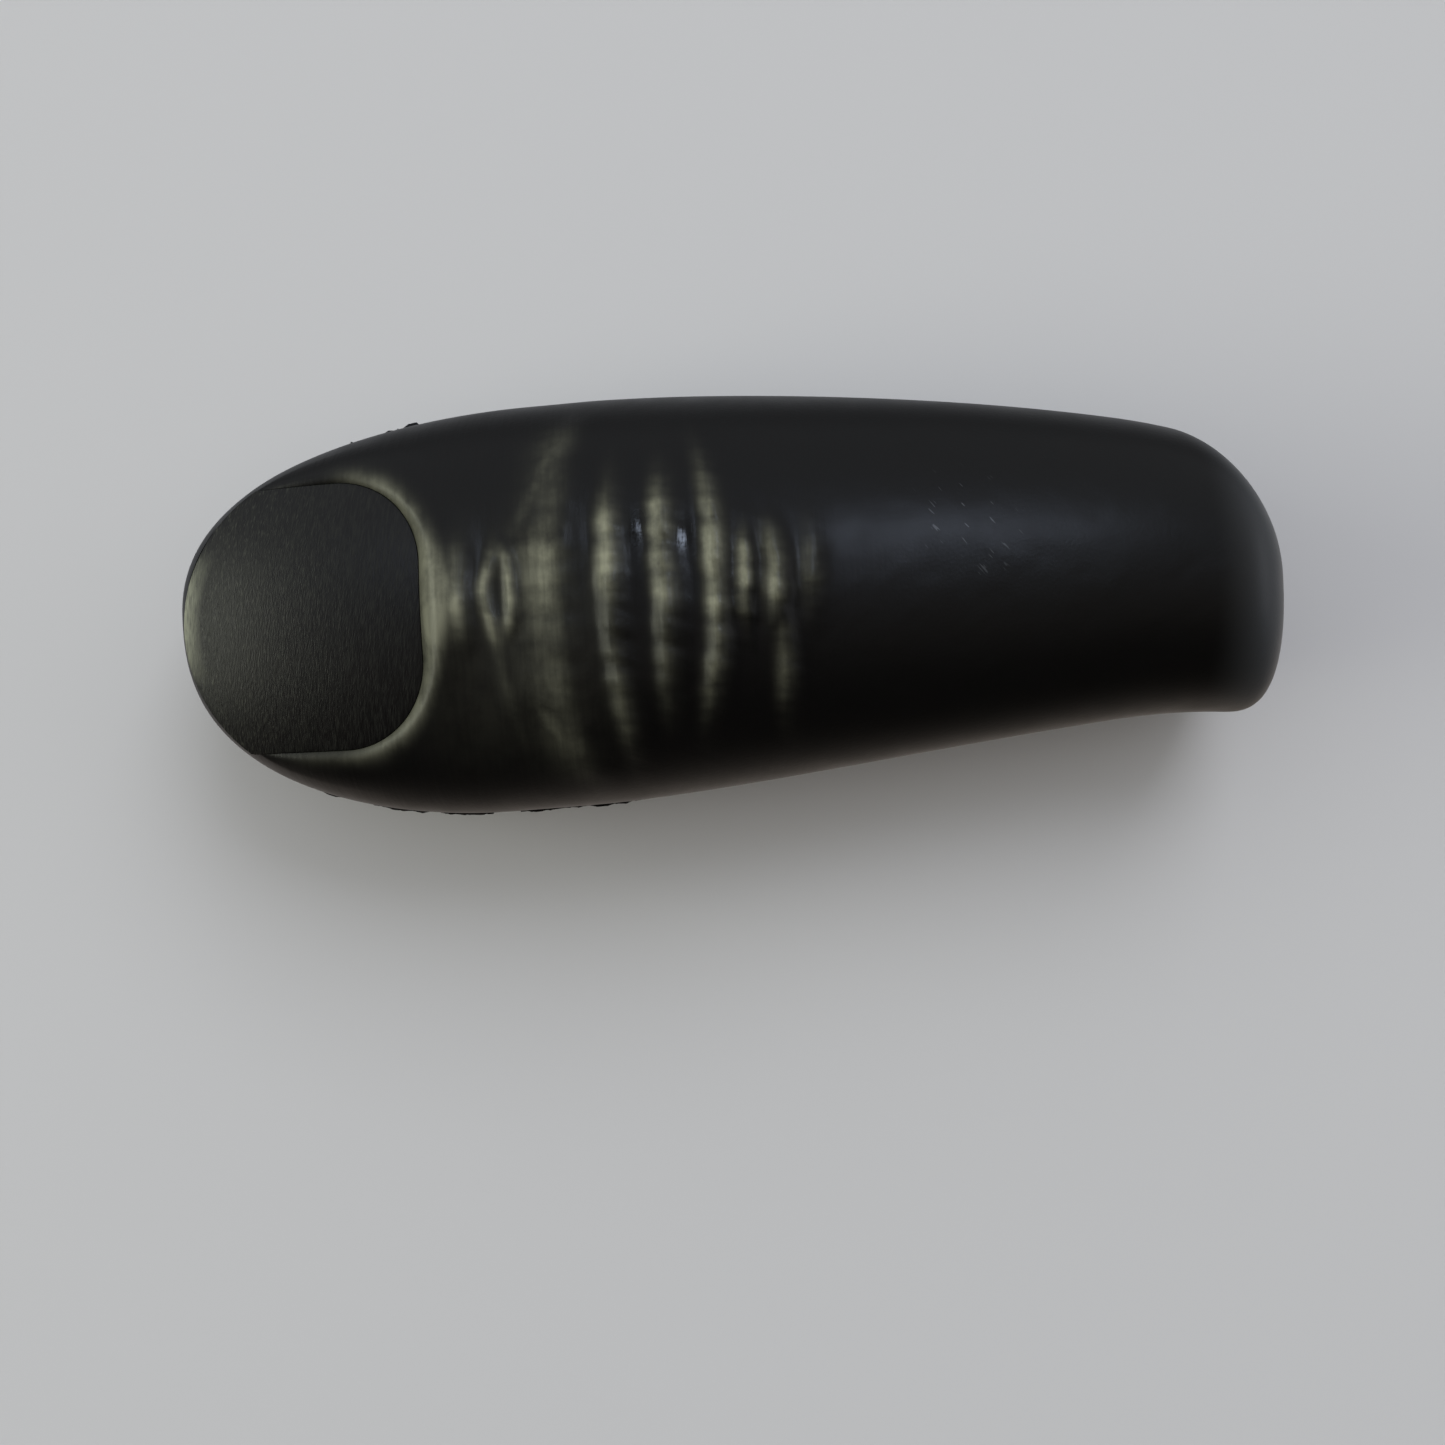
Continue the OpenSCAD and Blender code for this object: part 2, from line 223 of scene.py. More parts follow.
# the roll of skin round the nail
roll = {
    "height": 0.75, "rise": 1.5, "fall": 1.7, "reach": 3.5,
    "slopePower": 2.2, "slopeUnder": -0.4,  # how round the slope is, and how far it goes on under the nail
    # along the sides, what is added behind the root, and the width over which that fades
    "slopeBreadth": (0.55, 0.45, 4.5), "slopeShare": (0.42, 0.58, 5.5),
    # it dies out towards the tip: the place, and how sharply
    "front": 4.0, "frontSharp": 2.0, "crestFront": 5.0, "crestSharp": 1.3,
}


def rollSlope(y):
    # breadth of the roll's slope: broad behind the root, narrow round the corners and along the sides
    side, root, width = roll["slopeBreadth"]
    return roll["rise"] * (side + root * bump(y - nail["aside"], width))


def rollShare(y):
    # how much of the skin's height the slope takes up: all of it behind the root, under half along the sides
    side, root, width = roll["slopeShare"]
    return side + root * bump(y - nail["aside"], width)


def nailShare(s, y):
    # 0 at the nail's edge, rising in a rounded slope to the crest of the roll and then slowly to the skin's
    # own height, and 1 in front of the nail; the slope goes on a little way under the nail
    off = offNail(s, y)
    slope = 1 - (1 - np.clip(off / rollSlope(y), roll["slopeUnder"], 1)) ** roll["slopePower"]
    far = np.clip(off / roll["reach"], 0, 1)
    share = rollShare(y) * slope + (1 - rollShare(y)) * far * far * (3 - 2 * far)
    return 1 - (1 - share) / (1 + np.exp((roll["front"] - s) * roll["frontSharp"]))


def nailRoll(s, y):
    # the roll of skin that stands round the nail's sides and root, dying out behind its crest
    d = np.clip(offNail(s, y) - rollSlope(y), 0, None)
    crest = roll["height"] * rollShare(y) * bump(d, roll["fall"])
    return crest / (1 + np.exp((roll["crestFront"] - s) * roll["crestSharp"]))


# skin creases on the back; rates of waves are radians for each millimetre
creases = {
    "height": 0.62,
    # place from the tip, reach to -Y and +Y, share of height, slope, bend, breadth on the tip's and the rear
    # side, seed, then the stretch that is palest, how pale it is, and how pale the rest is; the paleness is
    # partly wear and partly painted sheen
    "ridges": [
        (19.4, -2.2, 2.9, 0.80, 0.00, 0.60, 1.20, 0.60, 1.0, -2.2, 2.6, 1.25, 0.45),
        (25.2, -11.0, 10.0, 0.55, 0.00, 0.50, 2.60, 1.10, 2.0, -1.2, 3.2, 0.85, 0.20),
        (28.1, -9.4, 6.2, 0.98, -0.01, 0.35, 0.85, 0.95, 3.0, 0.4, 4.8, 1.10, 0.22),
        (31.3, -7.0, 6.8, 0.98, 0.00, 0.00, 0.85, 0.95, 4.0, -0.5, 5.0, 1.25, 0.22),
        (34.4, -7.2, 7.4, 1.06, 0.01, -0.45, 0.80, 0.85, 5.0, -1.4, 4.0, 1.25, 0.42),
        (36.2, -2.2, 3.3, 1.15, 0.00, 0.10, 0.75, 0.45, 6.0, -1.4, 3.2, 1.60, 0.20),
        (37.9, -2.0, 3.2, 1.45, 0.02, -0.80, 0.90, 0.80, 7.0, -1.2, 3.2, 1.50, 0.20),
        (38.3, -8.0, -2.2, 0.75, 0.00, 0.00, 0.80, 0.80, 8.0, -6.0, -2.4, 0.40, 0.20),
        (39.9, -1.8, 3.6, 0.45, 0.02, 0.00, 0.80, 0.90, 9.0, -1.0, 3.0, 0.35, 0.10),
        (20.6, -11.0, -5.0, 0.34, -0.50, 0.00, 0.90, 1.40, 10.0, -9.5, -5.5, 0.22, 0.12),
        (21.1, 4.0, 10.5, 0.32, 0.45, 0.00, 0.80, 1.10, 11.0, 4.2, 9.2, 0.26, 0.12)],
    "bendSpan": 40.0,  # a ridge bends along by its bend times the square of y over this
    "wander": (0.06, 0.75), "coarse": (0.14, 0.9), "fine": (0.07, 3.2, 1.2),  # its unevenness: size and rates
    "foot": 4.5, "crown": 6.0, "flat": 0.2,  # sharpness of its foot and its crown, and the crown's flat
    "endSoft": 0.7, "longFrom": 8.0, "tail": (0.14, 2.0, 3.0, 1.0),  # a long one runs on faintly at its ends
    # small smooth beads in the valleys: place along and across, half length and half breadth, height
    "beads": [(29.85, 3.6, 0.42, 0.95, 0.02), (32.6, 3.1, 0.42, 0.80, 0.02)], "beadLean": 0.12,
    # fine lines between the ridges: height, rates, how patchy they are, and where they lie
    "lineH": 0.012, "lineRates": (5.2, 0.8, 0.5), "linePatch": (0.6, 0.4, 0.6, 0.4),
    "lineAlong": (18.0, 37.0, 1.0), "lineAcross": (-8.5, 5.5, 1.2),
    # slight dents of a pattern made by hand: height, rates along and across, and where they lie
    "dentH": 0.012, "dentLong": (0.85, 1.1, 0.45), "dentWide": (0.8, 0.9, 0.3),
    "dentAlong": (19.0, 66.0, 1.5),
}


def ridgeHeight(s, y, ridge):
    # an even ramp up from the tip's side and a round fall behind, wandering and uneven along its length
    place, low, high, share, slope, bend, tipSide, rearSide, seed = ridge[:9]
    aside, asideRate = creases["wander"]
    coarse, coarseRate = creases["coarse"]
    fine, fineRate, fineLean = creases["fine"]
    foot, crown, flat = creases["foot"], creases["crown"], creases["flat"]
    d = s - place - slope * y - bend * y * y / creases["bendSpan"] - aside * wave(asideRate * y, seed)
    uneven = 1 + coarse * wave(coarseRate * y, seed + 0.5)
    uneven = uneven + fine / max(1, tipSide) ** 2 * wave(fineRate * y + fineLean * d, seed + 0.2)
    rise = np.logaddexp(0, (1 + d / tipSide) * foot) / foot
    fall = bump(np.clip(d, -flat, None) + flat, rearSide + flat)
    top = -np.logaddexp(-rise * crown, -crown * fall) / crown  # the lower of the two, with a soft corner
    reach = between(y, low, high, creases["endSoft"])
    if high - low > creases["longFrom"]:
        faint, before, after, tailSoft = creases["tail"]
        reach = reach + faint * between(y, low - before, high + after, tailSoft)
    return share * creases["height"] * uneven * np.clip(top, 0, None) * reach


# the closed fold behind the nail; a reach is low, high and softness of its ends
eye = {
    "tipArc": 20.7, "rearArc": 22.3, "height": 0.34, "breadth": 0.44, "aside": 0.2,
    "tipBend": 0.15, "tipSlope": 0.2, "rearBend": 0.05,
    "tipReach": (-2.3, 2.6, 0.4), "rearReach": (-1.9, 2.7, 0.3),
    "legReach": (-8.0, -2.3, 0.8), "legShare": 0.2,
}


def eyeFold(s, y):
    # two short arcs that face each other, the tip's one led on faintly towards the -Y flank
    away = np.abs(y - eye["aside"])
    tipLine = s - eye["tipArc"] - np.minimum(eye["tipBend"] * away ** 2, eye["tipSlope"] * away)
    rearLine = s - eye["rearArc"] + eye["rearBend"] * away ** 2
    tipReach = between(y, *eye["tipReach"]) + eye["legShare"] * between(y, *eye["legReach"])
    tipFold = bump(tipLine, eye["breadth"]) * tipReach
    rearFold = bump(rearLine, eye["breadth"]) * between(y, *eye["rearReach"])
    return eye["height"] * (tipFold + rearFold)


def beadShape(s, y, bead):
    # 1 at the bead's middle, falling off as a leaning oval
    place, aside, along, across = bead[:4]
    return bump(s - place - creases["beadLean"] * (y - aside), along) * bump(y - aside, across)


def creaseHeight(s, y):
    # the roll, the fold, the beads and the ridges added up, with fine lines and slight dents over them
    total = nailRoll(s, y) + eyeFold(s, y)
    for bead in creases["beads"]:
        total = total + bead[4] * beadShape(s, y, bead)
    for ridge in creases["ridges"]:
        total = total + ridgeHeight(s, y, ridge)
    rate, sway, swayRate = creases["lineRates"]
    even, patchy, patchY, patchS = creases["linePatch"]
    lines = wave(rate * s + sway * wave(swayRate * y, 3.0), 1.5)
    lines = lines * (even + patchy * wave(patchY * y + patchS * s, 4.0))
    longRate, longSway, longSwayRate = creases["dentLong"]
    wideRate, wideSway, wideSwayRate = creases["dentWide"]
    dents = wave(longRate * s + longSway * wave(longSwayRate * y, 2.0), 6.0)
    dents = dents * wave(wideRate * y + wideSway * wave(wideSwayRate * s, 7.0), 8.0)
    total = total + creases["dentH"] * dents * between(s, *creases["dentAlong"])
    onKnuckle = between(s, *creases["lineAlong"])
    return total + creases["lineH"] * lines * onKnuckle * between(y, *creases["lineAcross"])


# moulding flash
flash = {
    # on +Y and on -Y: start, end, and how far it stands out
    "sides": {1: (9.5, 18.0, 0.50), -1: (5.5, 29.0, 0.18)},
    "endSoft": 0.5, "mean": 0.55, "most": 0.95, "coarse": (0.40, 1.4), "fine": (0.25, 4.3),
}


def flashFin(s, side):
    # a ragged sliver where the halves meet, near the tip: a mean with a coarse and a fine wave
    low, high, out = flash["sides"][side]
    coarse, coarseRate = flash["coarse"]
    fine, fineRate = flash["fine"]
    ragged = flash["mean"] + coarse * wave(coarseRate * s, 2.0 + side) + fine * wave(fineRate * s, 5.0 + side)
    return out * np.clip(ragged, 0, flash["most"]) * between(s, low, high, flash["endSoft"])


print("stage: forms ready")

# the two skins as grids
shell = {
    # at both ends the rings' places grow with the square of their count
    "tipRings": 20, "tipGrow": 0.0025, "tipLen": 1.0, "rearRings": 36, "rearGrow": 0.0045,
    # ring spacing on the nail and knuckle and on the shaft, where the first ends, and points across
    "dorsalRings": (0.14, 0.36), "palmarRings": (0.4, 0.6), "closeEnd": 42.0,
    "dorsalAcross": 200, "palmarAcross": 120,
    # angles close to the parting plane, the sine below which points carry flash, and the groove there
    "partAngles": (0.0, 0.004, 0.009), "firstAngle": 0.02, "flashBelow": 0.006,
    "groove": 0.06, "grooveFade": 0.02,
    "creasePower": 0.6,  # how the creases die out down the flanks
    "bedDrop": 0.05,  # the skin starts this far below the nail's upper face
    "sharpAngle": 42.0,
}


def ringPlaces(near, far):
    # rings close together at the ends and on the nail and knuckle, wider apart on the shaft
    tip = shell["tipGrow"] * np.arange(1, shell["tipRings"] + 1) ** 2
    rear = length - shell["rearGrow"] * np.arange(shell["rearRings"], 0, -1) ** 2
    body = np.arange(shell["tipLen"] + near, shell["closeEnd"], near)
    steps = int((rear[0] - shell["closeEnd"]) / far) + 2
    shaft = np.linspace(shell["closeEnd"], rear[0], steps)[:-1]
    return np.concatenate([tip, body, shaft, rear])


def sectionAngles(count):
    # from +Y over to -Y, with extra points close to the parting plane on each side
    close = np.array(shell["partAngles"])
    over = np.linspace(shell["firstAngle"], np.pi - shell["firstAngle"], count)
    return np.concatenate([close, over, np.pi - close[::-1]])


def halfShell(name, s, angles, power, heightOf, side):
    # rings of a rounded section, closed by the tip, the rear end and the flat face where the halves meet
    c = np.cos(angles)
    n = np.sin(angles)
    n[[0, -1]] = 0
    aside = np.sign(c) * np.abs(c) ** (2 / power)
    reach = np.where(c[None, :] > 0, halfWidth(s, 0)[:, None], halfWidth(s, 1)[:, None])
    y = (leanAside(s) - middleY)[:, None] + reach * aside[None, :]
    sGrid = np.repeat(s[:, None], len(angles), 1)
    z = heightOf(sGrid, y, n[None, :])
    # the lowest points on each side carry the flash, and a fine groove runs where there is none
    thin = np.abs(n) < shell["flashBelow"]
    finHigh = flashFin(s, 1)[:, None]
    finLow = flashFin(s, -1)[:, None]
    y = y + np.where(thin & (c > 0), finHigh, 0) - np.where(thin & (c < 0), finLow, 0)
    y[:, 0] -= shell["groove"] * bump(finHigh[:, 0], shell["grooveFade"])
    y[:, -1] += shell["groove"] * bump(finLow[:, 0], shell["grooveFade"])
    grid = np.stack([sGrid - length / 2, y, z], -1)
    rows, cols = grid.shape[:2]
    ends = [[-length / 2, leanAside(0.0) - middleY, partZ], [length / 2, leanAside(length) - middleY, partZ]]
    points = np.concatenate([grid.reshape(-1, 3), ends])
    tip, rear, last = rows * cols, rows * cols + 1, (rows - 1) * cols
    j = np.arange(cols - 1)
    i = np.arange(rows - 1) * cols
    faces = gridFaces(rows, cols)
    faces += np.stack([np.full_like(j, tip), j + 1, j], -1).tolist()
    faces += np.stack([np.full_like(j, rear), last + j, last + j + 1], -1).tolist()
    faces += np.stack([i, i + cols, i + 2 * cols - 1, i + cols - 1], -1).tolist()
    faces += [[tip, 0, cols - 1], [rear, last + cols - 1, last]]
    if side < 0:
        faces = [face[::-1] for face in faces]
    return meshFrom(name, points, faces)


def backZ(s, y, n):
    # the rounded back with its creases, drawn down to the nail's level round the nail
    smooth = backHeight(s) * np.abs(n) ** (2 / thumb["backPower"])
    skin = partZ + smooth + creaseHeight(s, y) * np.abs(n) ** shell["creasePower"] * rearFade(s)
    near = offNail(s, y) < roll["reach"]
    level = nailZ(np.where(near, s, nail["root"]), np.where(near, y, nail["aside"]))
    bed = np.minimum(level - shell["bedDrop"], skin)
    return np.where(near, bed + (skin - bed) * nailShare(s, y), skin)


def palmZ(s, y, n):
    # the rounded underside, cut off flat where it lies on the paper
    return np.maximum(0, partZ - palmDepth(s) * np.abs(n) ** (2 / thumb["palmPower"]))


# what is cut out of the skins
cuts = {
    "gripL": 57.0, "gripW": 11.0, "gripCorner": 2.5, "gripGap": 0.1, "dorsalGripT": 2.5, "palmarGripT": 3.6,
    "cornerPoints": 13, "rodSides": 40,
    "stringCount": 6, "stringPitch": 10.0, "notchR": 0.9, "channelHalf": 16.0,
    "pinAt": (-2, 0, 2), "pinR": 1.5, "pinGap": 0.06, "pinUp": 5.0, "pinRoom": 0.24, "pinSeat": 2.2,
    "past": 1.0,  # cutters stand out this far past the parting plane
    "lidUp": 14.0, "pocketRings": 30,  # the nail pocket's cutter
}


def prism(name, outline, low, high):
    # an outline raised from low to high
    n = len(outline)
    points = np.concatenate([np.c_[outline, np.full(n, low)], np.c_[outline, np.full(n, high)]])
    caps = [list(range(n))[::-1], list(range(n, 2 * n))]
    return meshFrom(name, points, gridFaces(2, n, 0, True) + caps)


def gripOutline():
    # a rectangle with round corners, run anticlockwise
    r = cuts["gripCorner"] + cuts["gripGap"]
    x = cuts["gripL"] / 2 + cuts["gripGap"] - r
    y = cuts["gripW"] / 2 + cuts["gripGap"] - r
    a = np.linspace(0, np.pi / 2, cuts["cornerPoints"])
    corners = [(x, y, 0), (-x, y, 1), (-x, -y, 2), (x, -y, 3)]
    return np.concatenate([np.c_[cx + r * np.cos(a + k * np.pi / 2), cy + r * np.sin(a + k * np.pi / 2)]
                           for cx, cy, k in corners])


def rods(name, centres, radius, along, low, high):
    # equal round bars, upright or across the thumb, in one mesh
    sides = cuts["rodSides"]
    a = np.linspace(0, 2 * np.pi, sides, endpoint=False)
    u = radius * np.cos(a)
    v = radius * np.sin(a)
    points, faces = [], []
    for k, x in enumerate(centres):
        for level in (np.full(sides, low), np.full(sides, high)):
            points.append(np.c_[x + u, v, level] if along == "z" else np.c_[x + u, level, partZ - v])
        first = 2 * sides * k
        caps = np.arange(first, first + 2 * sides).reshape(2, sides).tolist()
        faces += gridFaces(2, sides, first, True) + [caps[0][::-1], caps[1]]
    return meshFrom(name, np.concatenate(points), faces)


def nailPocket():
    # the nail's outline and a little more, from the bed that the nail lies on up through the skin
    midS, s, y = nailOutline(nail["gap"])
    share = np.linspace(1, nail["pole"], cuts["pocketRings"])[:, None]
    gs = midS + share * (s - midS)
    gy = nail["aside"] + share * (y - nail["aside"])
    bed = np.stack([gs - length / 2, gy, nailZ(gs, gy, nail["thick"] + nail["gap"])], -1)
    lid = np.stack([s - length / 2, y, np.full_like(s, partZ + cuts["lidUp"])], -1)[None]
    rows = np.concatenate([lid, bed])
    count = rows.shape[1]
    last = (rows.shape[0] - 1) * count
    faces = [face[::-1] for face in gridFaces(rows.shape[0], count, 0, True)]
    faces += [list(range(count)), list(range(last, last + count))[::-1]]
    return meshFrom("nailPocket", rows.reshape(-1, 3), faces)


def carve(obj, cutters):
    # takes each cutter out of the piece, then removes the cutter
    for cutter in cutters:
        cut = obj.modifiers.new("carve", "BOOLEAN")
        cut.operation = "DIFFERENCE"
        cut.object = cutter
        cut.solver = "MANIFOLD"
        bpy.context.view_layer.update()
        mesh = bpy.data.meshes.new_from_object(obj.evaluated_get(bpy.context.evaluated_depsgraph_get()))
        obj.modifiers.clear()
        obj.data = mesh
        bpy.data.objects.remove(cutter)
    obj.data.shade_smooth()
    obj.data.set_sharp_from_angle(angle=math.radians(shell["sharpAngle"]))
    return obj


stringX = (np.arange(cuts["stringCount"]) - (cuts["stringCount"] - 1) / 2) * cuts["stringPitch"]
pinX = np.array(cuts["pinAt"]) * cuts["stringPitch"]
channel = (cuts["notchR"], "y", -cuts["channelHalf"], cuts["channelHalf"])
belowPart, abovePart = partZ - cuts["past"], partZ + cuts["past"]
socketTop = partZ + cuts["pinUp"] + cuts["pinRoom"]
seatFloor = partZ - cuts["palmarGripT"] - cuts["pinSeat"]

dorsalRings, palmarRings = ringPlaces(*shell["dorsalRings"]), ringPlaces(*shell["palmarRings"])
dorsalAngles, palmarAngles = sectionAngles(shell["dorsalAcross"]), sectionAngles(shell["palmarAcross"])
dorsalSkin = carve(
    halfShell("dorsalSkin", dorsalRings, dorsalAngles, thumb["backPower"], backZ, 1),
    [prism("gripRoom", gripOutline(), belowPart, partZ + cuts["dorsalGripT"] + cuts["gripGap"]),
     rods("channels", stringX, *channel),
     rods("sockets", pinX, cuts["pinR"] + cuts["pinGap"], "z", belowPart, socketTop),
     nailPocket()])
palmarSkin = carve(
    halfShell("palmarSkin", palmarRings, palmarAngles, thumb["palmPower"], palmZ, -1),
    [prism("gripRoom", gripOutline(), partZ - cuts["palmarGripT"] - cuts["gripGap"], abovePart),
     rods("channels", stringX, *channel),
     rods("seats", pinX, cuts["pinR"], "z", seatFloor, abovePart)])
print("stage: skins", len(dorsalSkin.data.polygons), len(palmarSkin.data.polygons), "faces")


# nail plate
def makeNail():
    # rings drawn in from the outline: underside, square side, eased edge, then the curved upper face
    midS, s, y = nailOutline(0.0)
    reach = np.hypot(s - midS, y - nail["aside"])
    turn = np.linspace(nail["edgeFrom"], np.pi / 2, nail["edgeRings"])
    easeIn = nail["edge"] / reach.mean() * (1 - np.cos(turn))
    easeDown = nail["edge"] / nail["thick"] * (1 - np.sin(turn))
    face = np.linspace(nail["faceFrom"], nail["pole"], nail["faceRings"])
    inset = np.concatenate([[nail["pole"], nail["underRing"], 1, 1], 1 - easeIn, face])[:, None]
    drop = np.concatenate([[1, 1, 1, nail["sideTop"]], easeDown, np.zeros_like(face)])[:, None]
    gs = midS + inset * (s - midS)
    gy = nail["aside"] + inset * (y - nail["aside"])
    rows = np.stack([gs - length / 2, gy, nailZ(gs, gy) - drop * nail["thick"]], -1)
    count = rows.shape[1]
    last = (rows.shape[0] - 1) * count
    faces = gridFaces(rows.shape[0], count, 0, True)
    faces += [list(range(count))[::-1], list(range(last, last + count))]
    obj = meshFrom("nailPlate", rows.reshape(-1, 3), faces)
    obj.data.shade_smooth()
    obj.data.set_sharp_from_angle(angle=math.radians(nail["sharpAngle"]))
    return obj


nailPlate = makeNail()
print("stage: nail", len(nailPlate.data.polygons), "faces")

# where the skins are painted paler, partly as wear from handling and partly as the sheen of slopes that face
# the lamps: shares from 0 to 1, millimetres, and rates of waves
wearAndSheen = {
    "backFrom": 4.0, "backOver": 2.0,  # it starts this far above the parting plane, and grows over this
    "eyePale": 0.68, "eyeUneven": (0.22, 2.1, 0.6), "eyeShift": 0.1, "eyePower": 1.5,
    # the paleness lies a little to the tip's side of each crest, on the slope that faces the left lamp, as
    # painted highlight
    "ridgeShift": 0.35, "ridgePower": 2.0, "ridgeSoft": 0.5,
    "ridgeEven": 0.85, "ridgeCoarse": (0.2, 1.7), "ridgeFine": (0.10, 3.6),
    # the slope of skin round the nail's root, painted pale as its highlight: how broad it is, and how far it
    # goes on each side
    "cuticle": 0.76, "cuticleFrom": 0.05, "cuticleSoft": 0.22, "cuticleBroad": (0.75, 0.75, 0.5, 3.0),
    "cuticleHigh": (12.0, 30.0, 0.6), "cuticleLow": (12.5, 30.0, 0.8), "cuticleLowFaint": (7.0, 30.0, 0.8),
    "cuticleLowShares": (0.3, 0.7),
    # a faint painted sheen over the saddle
    "saddle": 0.045, "saddleAlong": (17.0, 27.5, 0.8), "saddleAcross": (-9.0, 3.0, 1.2),
    # the rear end's rim is painted paler as its sheen
    "rimFrom": 64.0, "rimOver": 5.0, "rimPower": 1.8, "rimUp": 1.0, "rimUpOver": 3.0,
    "flankFrom": 0.90, "flankOver": 0.35, "beadGain": 1.6,
}


def markWearAndSheen(obj):
    # how pale each point is, from wear and painted sheen on the crests and painted sheen on the rear end's
    # rim, how far it faces sideways, and its gloss
    co = np.empty(len(obj.data.vertices) * 3)
    normal = np.empty(len(obj.data.vertices) * 3)
    obj.data.vertices.foreach_get("co", co)
    obj.data.vertex_normals.foreach_get("vector", normal)
    x, y, z = (co.reshape(-1, 3) / mm).T
    s = x + length / 2
    onBack = np.clip((z - partZ - wearAndSheen["backFrom"]) / wearAndSheen["backOver"], 0, 1)

    uneven, unevenY, unevenS = wearAndSheen["eyeUneven"]
    fold = np.clip(eyeFold(s + wearAndSheen["eyeShift"], y) / eye["height"], 0, 1) ** wearAndSheen["eyePower"]
    crest = (wearAndSheen["eyePale"] + uneven * wave(unevenY * y + unevenS * s, 3.0)) * fold

    coarse, coarseRate = wearAndSheen["ridgeCoarse"]
    fine, fineRate = wearAndSheen["ridgeFine"]
    for ridge in creases["ridges"]:
        share, tipSide, seed = ridge[3], ridge[6], ridge[8]
        paleLow, paleHigh, palest, rest = ridge[9:]
        top = ridgeHeight(s + wearAndSheen["ridgeShift"] * tipSide, y, ridge) / (share * creases["height"])
        pale = rest + (palest - rest) * between(y, paleLow, paleHigh, wearAndSheen["ridgeSoft"])
        patchy = wearAndSheen["ridgeEven"] + coarse * wave(coarseRate * y, seed)
        # the paleness comes in beads on narrow ridges, and evenly on broad ones
        patchy = patchy + fine / tipSide ** 2 * wave(fineRate * y, seed + 0.3)
        crest = np.maximum(crest, np.clip(top, 0, 1) ** wearAndSheen["ridgePower"] * pale * patchy)

    # the slope of skin round the nail's root, painted pale as the highlight of the slope that faces the nail
    # and the left lamp, dying out sooner on the +Y side than on the -Y side
    least, more, middle, width = wearAndSheen["cuticleBroad"]
    breadth = (least + more * bump(y - middle, width)) * rollSlope(y)
    cuticle = between(offNail(s, y), wearAndSheen["cuticleFrom"], breadth, wearAndSheen["cuticleSoft"])
    faint, strong = wearAndSheen["cuticleLowShares"]
    lowSide = faint * between(s, *wearAndSheen["cuticleLowFaint"]) + strong * between(s, *wearAndSheen["cuticleLow"])
    cuticle = cuticle * np.where(y > nail["aside"], between(s, *wearAndSheen["cuticleHigh"]), lowSide)

    # a trace of painted sheen over the whole saddle between the nail and the knuckle
    saddle = wearAndSheen["saddle"] * between(s, *wearAndSheen["saddleAlong"]) * between(y, *wearAndSheen["saddleAcross"])
    crest = np.clip(np.maximum(crest + saddle, wearAndSheen["cuticle"] * cuticle), 0, 1) * onBack

    # painted sheen on the rim of the rounded rear end, standing in for its reflection of the paper and the
    # lamps
    rim = np.clip((s - wearAndSheen["rimFrom"]) / wearAndSheen["rimOver"], 0, 1) ** wearAndSheen["rimPower"]
    rim = rim * np.clip((z - partZ - wearAndSheen["rimUp"]) / wearAndSheen["rimUpOver"], 0, 1)
    flank = np.clip((wearAndSheen["flankFrom"] - normal.reshape(-1, 3)[:, 2]) / wearAndSheen["flankOver"], 0, 1)
    beads = sum(beadShape(s, y, bead) for bead in creases["beads"])
    gloss = np.clip(beads * wearAndSheen["beadGain"], 0, 1) * onBack
    for name, values in (("crest", crest), ("flank", flank), ("rim", rim), ("gloss", gloss)):
        obj.data.attributes.new(name, "FLOAT", "POINT").data.foreach_set("value", values.astype(np.float32))


markWearAndSheen(dorsalSkin)
markWearAndSheen(palmarSkin)


# finishes
def newMaterial(name):
    # a material that holds only its shader and its output
    material = bpy.data.materials.new(name)
    material.use_nodes = True
    tree = material.node_tree
    tree.nodes.clear()
    shader = addNode(tree, "BsdfPrincipled")
    addNode(tree, "OutputMaterial", links={"Surface": (shader, "BSDF")})
    return material, shader


def rubbedStrokes(tree, place, thin, long, turn, detail):
    # noise drawn out into strokes: thin and long are millimetres, and turn is degrees from the Y direction
    perMetre = (1 / (thin * mm), 1 / (long * mm), 1 / (long * mm))
    lie = addNode(tree, "Mapping", {"Rotation": (0, 0, math.radians(turn))}, {"Vector": (place, "Object")})
    squeeze = addNode(tree, "Mapping", {"Scale": perMetre}, {"Vector": (lie, "Vector")})
    return addNode(tree, "TexNoise", {"Scale": 1.0, "Detail": detail}, {"Vector": (squeeze, "Vector")})


